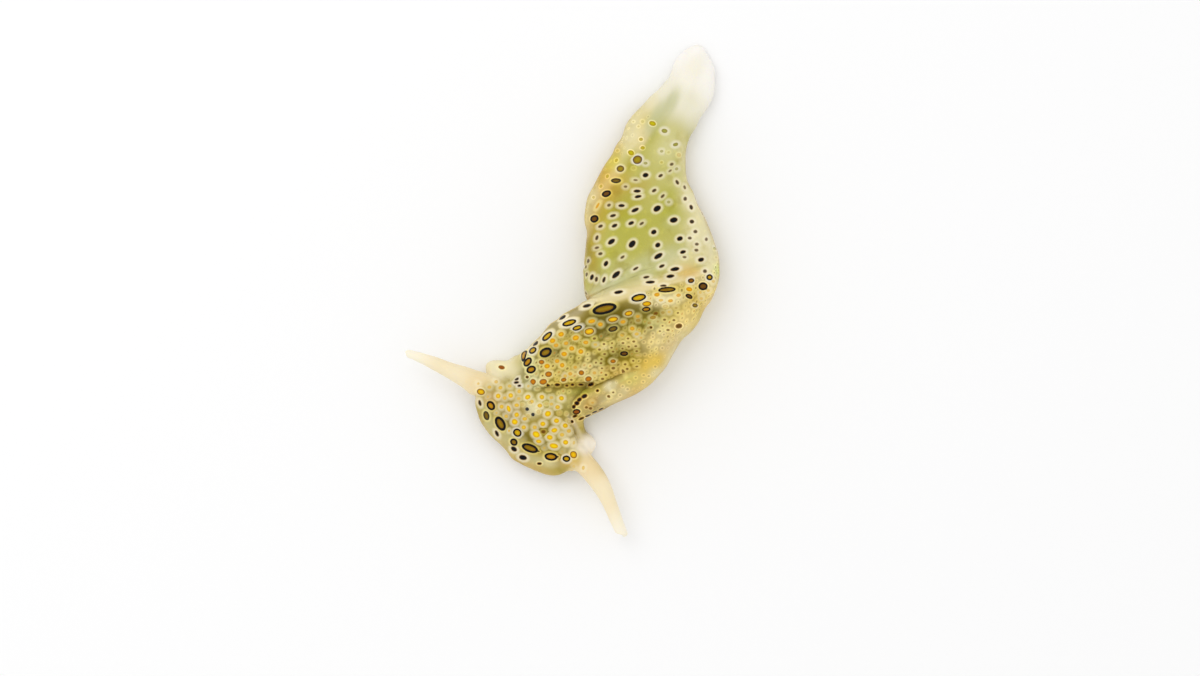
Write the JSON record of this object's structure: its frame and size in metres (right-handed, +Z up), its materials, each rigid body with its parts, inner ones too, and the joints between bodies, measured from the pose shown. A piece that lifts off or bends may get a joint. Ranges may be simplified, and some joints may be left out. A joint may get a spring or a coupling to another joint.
{
  "type": "sea slug model",
  "caption": "Life-size leaf-shaped sap-sucking sea slug with ringed spots and rolled feelers, turning itself over with its rear sole up.",
  "frame": {"origin": "on the floor, under the middle of the animal's box", "axes": "+Z up from the floor, +Y towards the tail along the animal's longer side, +X towards the animal's bulging flank"},
  "size_m": [0.0315, 0.0491, 0.0072],
  "materials": {
    "back_skin": "moist, spotted",
    "flap_skin": "moist, ringed spots",
    "sole_skin": "moist, smooth, spotted",
    "tail_skin": "moist, translucent",
    "feeler_skin": "moist, translucent",
    "foot_skin": "moist, smooth",
    "eye": "glossy black"
  },
  "bodies": {
    "root": {"head": "back_skin", "neck": "back_skin", "eye_right": "eye", "eye_left": "eye", "feeler_right": "feeler_skin", "feeler_left": "feeler_skin", "foot_front": "foot_skin", "trunk_front": "sole_skin", "trunk_middle": "sole_skin", "trunk_rear": "sole_skin", "flap_right_front": "flap_skin", "flap_right_middle": "flap_skin", "flap_right_rear": "flap_skin", "flap_left_front": "flap_skin", "flap_left_middle": "flap_skin", "flap_left_rear": "flap_skin", "tail": "tail_skin"}
  },
  "joints": []
}
